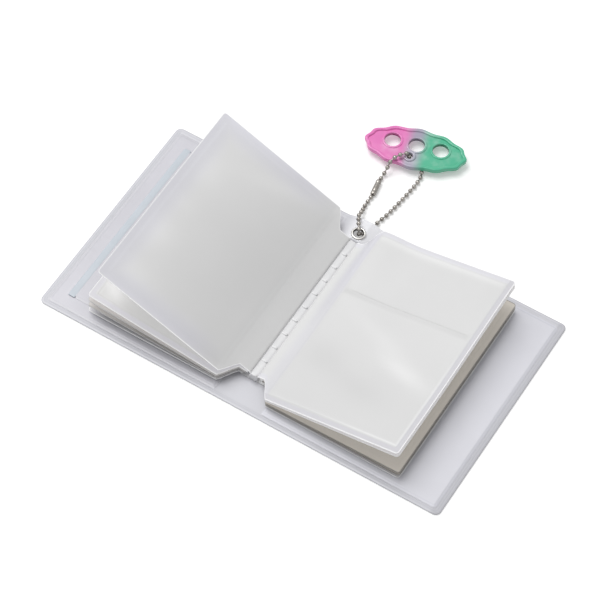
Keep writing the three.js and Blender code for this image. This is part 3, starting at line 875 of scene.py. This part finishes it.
leaves = {
    1: {"side": -1, "root": (-6.7, 2.2), "angle": 0.1, "painted_stack_shade": 0.1},
    2: {"side": -1, "root": (-5.6, 3.3), "angle": 2.4, "painted_stack_shade": 0.6},
    3: {"side": -1, "root": (-4.5, 4.4), "angle": 4.8, "painted_stack_shade": 0.6},
    4: {"side": -1, "root": (-3.4, 5.5), "angle": 7.2, "painted_stack_shade": 0.1, "painted_shading": corner_painted_light},
    5: {"side": -1, "root": (-2.3, 6.6), "angle": 24, "lip": 0.8, "droop": 0.5, "ripple": loose_ripple,
        "painted_shading": raised_painted_shading, "cool": raised_cool, "softness": 8},
    6: {"side": 1, "root": (3.1, 6.05), "angle": 11.4, "lip": 0.8, "droop": 0.55, "belly": head_belly,
        "ripple": loose_ripple, "painted_shading": top_painted_shading, "cool": top_cool},
    7: {"side": 1, "root": (4.2, 4.95), "angle": 10.3, "lip": 0.5, "droop": 0.3, "belly": head_belly,
        "ripple": flat, "painted_stack_shade": 0.35},
    8: {"side": 1, "root": (5.3, 3.85), "angle": 1.6, "painted_stack_shade": 1},
    9: {"side": 1, "root": (6.4, 2.75), "angle": 0.8, "painted_stack_shade": 0.9},
    10: {"side": 1, "root": (7.5, 1.65), "angle": 0, "painted_stack_shade": 0.2},
}
for number, form in leaves.items():
    leaf = make_leaf(number, **form)
    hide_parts(f"leaf_{number}_lower_film", f"leaf_{number}_upper_film")
    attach(leaf, f"leaf_{number}")

# Eyelet. It is pressed from nickel-plated brass: a barrel through the spine film, a domed flange above it
# and a rolled edge below it.
eyelet_samples = 4
eyelet_sides = 56
hole_wall_radius = 2.95 * mm
hole_wall_fade = 0.15 * mm
hole_wall_top = 4.5 * mm
nickel_cloud_scale = 260
nickel_grain_scale = 1800
nickel_grain_height = 0.004 * mm
nickel_roughness = 0.2
nickel_gloss_spread = 0.16
# Radii and heights in millimetres: up the hole, over the flange, down the barrel and round the rolled edge.
eyelet_stops = ((2.72, 3.6), (2.72, 4.25), (2.95, 4.55), (3.3, 4.62), (3.7, 4.45), (3.86, 4.22), (3.6, 4.14),
                (3.12, 4.12), (3.1, 3.6), (3.12, 3.17), (3.55, 3.12), (3.68, 2.95), (3.5, 2.76), (3.1, 2.75),
                (2.8, 2.9), (2.72, 3.2), (2.72, 3.6))


def route(stops, samples):
    """A centripetal curve through the stops. Each span is a cubic whose end slopes follow from the chords
    next to it, with the square roots of the chord lengths as times."""
    stops = np.asarray(stops, float)
    padded = np.concatenate([[2 * stops[0] - stops[1]], stops, [2 * stops[-1] - stops[-2]]])
    chords = np.diff(padded, axis=0)
    times = np.sqrt(np.linalg.norm(chords, axis=1))[:, None]
    slopes = chords[:-1] / times[:-1] + chords[1:] / times[1:]
    slopes = slopes - (padded[2:] - padded[:-2]) / (times[:-1] + times[1:])
    leaving = (times[1:-1] * slopes[:-1])[:, None]
    arriving = (times[1:-1] * slopes[1:])[:, None]
    chord = chords[1:-1, None]
    t = np.linspace(0, 1, samples, endpoint=False)[:, None]
    spans = stops[:-1, None] + leaving * t + (3 * chord - 2 * leaving - arriving) * t ** 2
    spans = spans + (leaving + arriving - 2 * chord) * t ** 3
    return np.concatenate([spans.reshape(-1, stops.shape[1]), stops[-1:]])


def turned(profile, origin, axis, beside, sides, groove=None):
    """A profile of radius and height turned about an axis, as far out along two directions across it as the
    cosine and the sine of the angle. A groove may lessen the radius by height and angle."""
    axis = np.asarray(axis, float) / np.linalg.norm(axis)
    first = np.cross(axis, beside)
    first /= np.linalg.norm(first)
    second = np.cross(axis, first)
    angle = around(sides)[None, :, None]
    radius = profile[:, 0][:, None, None]
    height = profile[:, 1][:, None, None]
    if groove is not None:
        radius = radius - groove(height, angle)
    out = np.cos(angle) * first + np.sin(angle) * second
    return np.asarray(origin) + radius * out + height * axis


nickel_finish, nickel_nodes = new_finish("nickel")
nickel_slow = nickel_nodes.grain(nickel_cloud_scale, cloud_detail)
nickel_clouds = nickel_slow.rise(cloud_start, cloud_end)
nickel_base = nickel_nodes.blend(nickel_clouds, tint(158, 154, 149), tint(138, 134, 129))
# Painted reflection: the eyelet's outside is painted lighter, for the bright room it reflects.
nickel_base = nickel_nodes.blend(nickel_nodes.mark("painted_sheen"), nickel_base, tint(198, 196, 193))
# Painted shade: the wall inside the eyelet's hole is painted dark.
nickel_base = nickel_nodes.blend(nickel_nodes.mark("inner"), nickel_base, tint(52, 49, 46))
nickel_nodes.dress("Principled BSDF", {
    "Base Color": nickel_base,
    "Metallic": 1,
    "Roughness": nickel_roughness + nickel_gloss_spread * nickel_slow,
    "Normal": nickel_nodes.dent(nickel_nodes.grain(nickel_grain_scale) * nickel_grain_height),
})

eyelet_profile = route(eyelet_stops, eyelet_samples) * mm
eyelet_radius, eyelet_height = eyelet_profile.T[:, :, None]
# The wall inside the hole gets painted shade, and the rest of the eyelet gets a painted sheen.
painted_hole_shade = smooth_step((hole_wall_radius - eyelet_radius) / hole_wall_fade)
painted_hole_shade = painted_hole_shade * (eyelet_height < hole_wall_top)
eyelet_grid = {"at": turned(eyelet_profile, (eyelet_x, eyelet_y, 0), (0, 0, 1), (1, 0, 0), eyelet_sides),
               "marks": {"inner": painted_hole_shade, "painted_sheen": 1 - painted_hole_shade}}
eyelet = make_piece("eyelet_ring", nickel_finish, [eyelet_grid], closed=True)
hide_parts("eyelet")
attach(eyelet, "spine")

# Ball chain. Hollow nickel beads, 2.4 mm across, are held by short dumb-bell links. It goes over the head
# edge, down through the eyelet, under the spine and out again, and round the hole of the charm.
bead_radius = 1.2 * mm
bead_pitch = 3.28 * mm
bead_swing = math.radians(72)
bead_rings = 13
link_radius = 0.36 * mm
chain_samples = 60
chain_sides = 18
# The body that each run rides, and the run's stops in millimetres from the middle of the head edge.
chain_routes = {
    "chain_eyelet_run": ("spine", [
        (-6.4, 1.4, 4.1), (-6, -0.7, 4.65), (-4.6, -3.4, 5.6), (-2.8, -6.3, 6.4), (-1.5, -8.2, 6.4),
        (-0.6, -10, 4.35), (-0.5, -9.4, 2.75), (0.1, -7.4, 1.25), (1, -5, 1.25), (2.9, 1, 1.25)]),
    "chain_front_run": ("chain_loop", [
        (-6.4, 1.4, 4.1), (-6.8, 3.6, 2.9), (-7.3, 6, 1.8), (-7.8, 8.5, 1.25), (-7.9, 12, 1.25),
        (-7.9, 16.3, 1.25)]),
    "chain_charm_run": ("chain_loop", [
        (-9.7, 26.2, 1.25), (-9.8, 29.2, 1.35), (-9.7, 31.6, 2.2), (-9.5, 34.5, 4.6), (-9.2, 36.6, 6.9),
        (-8.6, 39, 7.5), (-7, 42.4, 7.5), (-4.35, 45.14, 7.4), (-3.45, 45.64, 6.3), (-3.35, 45.74, 5),
        (-3.35, 45.74, 3.6), (-3, 45.89, 2.2), (-1.9, 46.14, 1.25), (-0.9, 46.2, 1.25)]),
    "chain_back_run": ("chain_loop", [
        (-0.9, 46.2, 1.25), (1.6, 45.9, 1.25), (4.6, 44.6, 1.25), (7, 41, 1.25), (7.6, 36, 1.25),
        (7.2, 29, 1.25), (6.4, 21, 1.25), (5.5, 14, 1.25), (4.5, 8, 1.25), (3.6, 4.5, 1.25),
        (2.9, 1, 1.25)]),
}


def chain_grid(stops):
    """A tube along a curve. Its radius swells to a ball at every pitch, as the root of the ball's square
    less the square of the way from its middle, and is the link's radius between the balls. The direction
    across the tube is carried from ring to ring, less its share along the tube."""
    line = route(np.array(stops) * mm + (0, cover_half_height, 0), chain_samples)
    reach = np.concatenate([[0], np.cumsum(np.linalg.norm(np.diff(line, axis=0), axis=1))])
    length = reach[-1]
    beads = round(length / bead_pitch)
    middles = (np.arange(beads) + 0.5) * length / beads
    swing = np.linspace(-bead_swing, bead_swing, bead_rings)
    balls = (middles[:, None] + bead_radius * np.sin(swing)).ravel()
    along = np.concatenate([[0, 0], balls, [length, length]])
    ball_radius = np.tile(bead_radius * np.cos(swing), beads)
    radius = np.concatenate([[0, link_radius], ball_radius, [link_radius, 0]])[:, None, None]
    centre = np.stack([np.interp(along, reach, way) for way in line.T], axis=-1)
    ahead = np.stack([np.interp(along, reach, np.gradient(way, reach)) for way in line.T], axis=-1)
    ahead /= np.linalg.norm(ahead, axis=1)[:, None]
    across = np.cross(ahead[0], (0, 0, 1))
    carried = []
    for way in ahead:
        across = across - way * (across @ way)
        across = across / np.linalg.norm(across)
        carried.append(across)
    across = np.array(carried)[:, None, :]
    up = np.cross(ahead[:, None, :], across)
    angle = around(chain_sides)[None, :, None]
    return {"at": centre[:, None, :] + radius * (np.cos(angle) * across + np.sin(angle) * up)}


for node, (body, stops) in chain_routes.items():
    chain = make_piece(node + "_beads", nickel_finish, [chain_grid(stops)], closed=True)
    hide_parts(node)
    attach(chain, body)

# Connector of the chain. It is a small barrel rolled from nickel-plated strip, open along a slot, with a
# waist near each end that holds the last bead.
barrel_radius = 1.5 * mm
barrel_from = np.array((-7.9, 81.3, 1.5)) * mm
barrel_to = np.array((-9.7, 91.2, 1.5)) * mm
barrel_length = np.linalg.norm(barrel_to - barrel_from)
barrel_beside = (0.3, 0.1, 1)
barrel_sides = 48
barrel_rings = 12
barrel_end_length = 4 * mm
slot_turn = math.radians(75)
slot_half_turn = 0.32
slot_slope_turn = 0.2
slot_depth = 0.6 * mm
slot_inset = 1.6 * mm
slot_ease = 0.5 * mm
# Radii and ways from the end, in millimetres: the end, its round edge, the swell and the waist.
barrel_end = np.array([(0, 0), (0.9, 0.02), (1.28, 0.2), (1.46, 0.6), (1.5, 1.1), (1.5, 1.9), (1.36, 2.3),
                       (1.5, 2.7), (1.5, 3.6)]) * mm


def barrel_slot(height, angle):
    """How deep the slot is: a smooth trough on top that ends a little way from the ends of the barrel."""
    turn = (angle - slot_turn + math.pi) % (2 * math.pi) - math.pi
    from_ends = np.minimum(height, barrel_length - height)
    lengthwise = smooth_step((from_ends - slot_inset) / slot_ease)
    return slot_depth * lengthwise * smooth_step((slot_half_turn - abs(turn)) / slot_slope_turn)


barrel_ways = np.linspace(barrel_end_length, barrel_length - barrel_end_length, barrel_rings)
barrel_middle = np.stack([np.full(barrel_rings, barrel_radius), barrel_ways], axis=-1)
barrel_mirror = barrel_end[::-1] * (1, -1) + (0, barrel_length)
barrel_profile = np.concatenate([barrel_end, barrel_middle, barrel_mirror])
barrel_grid = {"at": turned(barrel_profile, barrel_from, barrel_to - barrel_from, barrel_beside,
                            barrel_sides, barrel_slot)}
connector = make_piece("chain_connector_barrel", nickel_finish, [barrel_grid], closed=True)
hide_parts("chain_connector")
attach(connector, "chain_loop")

# Charm. It is moulded in clear soft plastic: a lobed oval plate with a thick round rim, three windows with
# raised lips and a boss round the chain's hole. Its colour runs from pink through grey lilac to green.
charm_middle = (-3.03 * mm, 116.87 * mm, 0)
charm_turn = math.radians(16)
charm_crease_angle = math.radians(35)
charm_cloud_scale = 90
charm_grain_scale = 500
charm_grain_height = 0.03 * mm
charm_roughness = 0.22
charm_gloss_spread = 0.16
charm_coat = 0.4
pink_to_lilac = (-8 * mm, -1 * mm)
lilac_to_green = (0, 7 * mm)
colour_wander = 4 * mm
frost_clouds = (0.5, 0.75)
frost_share = 0.2
# The sizes from here on are in millimetres, and the finished mesh is brought to metres.
charm_hole_place = (-3.35, 110.74, 2.8)
charm_half_length = 27.5
charm_half_width = 13
charm_lobes = 12
charm_lobe_depth = 0.9
charm_outline_steps = 180
charm_ring_steps = 64
charm_bevel_steps = 4
charm_merge = 1e-4
rim_width = 2.1
plate_inset = 0.3
hole_middle = (-2, -5.8)
hole_radius = 1.95
boss_radius = 3.45
window_middles = ((-13, 2.2), (0, 2.2), (13, 2.2))
window_radius = 4.3
lip_radius = 5.6
# The bottom, the top and the rounding of each form.
plate_levels = (0.1, 2.2, 0.3)
rim_levels = (0, 3, 0.7)
boss_levels = (0, 3, 0.5)
lip_levels = (0.05, 2.65, 0.45)


def lobed(inset):
    """A lobed oval: both half sizes shrink by the inset and by a cosine with one wave for each lobe."""
    angle = around(charm_outline_steps)[:-1]
    lobe = charm_lobe_depth * (np.cos(charm_lobes * angle) - 1) / 2 - inset
    return np.stack([(charm_half_length + lobe) * np.cos(angle),
                     (charm_half_width + lobe) * np.sin(angle)], axis=-1)


def ring(middle, radius):
    """A circle of points."""
    angle = around(charm_ring_steps)[:-1]
    return np.array(middle) + radius * np.stack([np.cos(angle), np.sin(angle)], axis=-1)


def cut_plate(outlines, bottom, top, bevel):
    """A flat curve of outlines and holes, filled, raised from bottom to top and rounded at its edges, as a
    mesh. The outlines are drawn inside their true places by the bevel, which grows them again."""
    flat_curve = bpy.data.curves.new("outline", "CURVE")
    flat_curve.dimensions = "2D"
    flat_curve.fill_mode = "BOTH"
    flat_curve.extrude = (top - bottom) / 2 - bevel
    flat_curve.bevel_depth = bevel
    flat_curve.bevel_resolution = charm_bevel_steps
    flat_curve.offset = -bevel
    for outline in outlines:
        line = flat_curve.splines.new("POLY")
        line.points.add(len(outline) - 1)
        line.points.foreach_set("co", np.pad(outline, ((0, 0), (0, 2))).ravel())
        line.use_cyclic_u = True
    holder = add_object("outline", flat_curve)
    scene_graph = bpy.context.evaluated_depsgraph_get()
    mesh = bpy.data.meshes.new_from_object(holder.evaluated_get(scene_graph))
    bpy.data.objects.remove(holder)
    places = np.empty(len(mesh.vertices) * 3)
    mesh.vertices.foreach_get("co", places)
    places = places.reshape(-1, 3) + (0, 0, (top + bottom) / 2)
    mesh.vertices.foreach_set("co", places.ravel())
    return mesh


hole = ring(hole_middle, hole_radius)
windows = [ring(middle, window_radius) for middle in window_middles]
lips = [ring(middle, lip_radius) for middle in window_middles]
charm_parts = [
    cut_plate([lobed(plate_inset), hole, *windows], *plate_levels),
    cut_plate([lobed(0), lobed(rim_width)], *rim_levels),
    cut_plate([ring(hole_middle, boss_radius), hole], *boss_levels),
    *(cut_plate([lip, window], *lip_levels) for lip, window in zip(lips, windows)),
]
charm_form = bmesh.new()
for part in charm_parts:
    charm_form.from_mesh(part)
bmesh.ops.remove_doubles(charm_form, verts=charm_form.verts, dist=charm_merge)
charm_way = (math.cos(charm_turn), math.sin(charm_turn), 0)
charm_turning = np.array([charm_way, (-charm_way[1], charm_way[0], 0), (0, 0, 1)])
places = np.array([vertex.co for vertex in charm_form.verts]) - (*hole_middle, 0)
places = (places @ charm_turning + charm_hole_place) * mm
charm_mesh = bpy.data.meshes.new("charm_moulding")
charm_form.to_mesh(charm_mesh)
charm_form.free()
charm_mesh.vertices.foreach_set("co", places.ravel())
charm_mesh.update()

charm_finish, charm_nodes = new_finish("charm_plastic")
charm_slow = charm_nodes.grain(charm_cloud_scale, cloud_detail)
charm_from_middle = charm_nodes.add("ShaderNodeVectorMath", {"operation": "SUBTRACT"},
                                    {0: charm_nodes.place(), 1: charm_middle})
charm_along = charm_nodes.add("ShaderNodeVectorMath", {"operation": "DOT_PRODUCT"},
                              {0: charm_from_middle, 1: charm_way}, "Value")
charm_along = charm_along + (charm_slow - 0.5) * colour_wander
charm_base = charm_nodes.blend(charm_along.rise(*pink_to_lilac), tint(231, 120, 190), tint(166, 160, 180))
charm_base = charm_nodes.blend(charm_along.rise(*lilac_to_green), charm_base, tint(70, 182, 144))
charm_frost = charm_slow.rise(*frost_clouds) * frost_share
charm_base = charm_nodes.blend(charm_frost, charm_base, tint(240, 240, 244))
charm_nodes.dress("Principled BSDF", {
    "Base Color": charm_base,
    "Roughness": charm_roughness + charm_gloss_spread * charm_slow,
    "Normal": charm_nodes.dent(charm_nodes.grain(charm_grain_scale) * charm_grain_height),
    "Coat Weight": charm_coat,
})
charm_mesh.materials.append(charm_finish)
charm_mesh.shade_smooth()
charm_mesh.set_sharp_from_angle(angle=charm_crease_angle)
charm = add_object("charm_moulding", charm_mesh)
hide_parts("charm")
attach(charm, "charm")
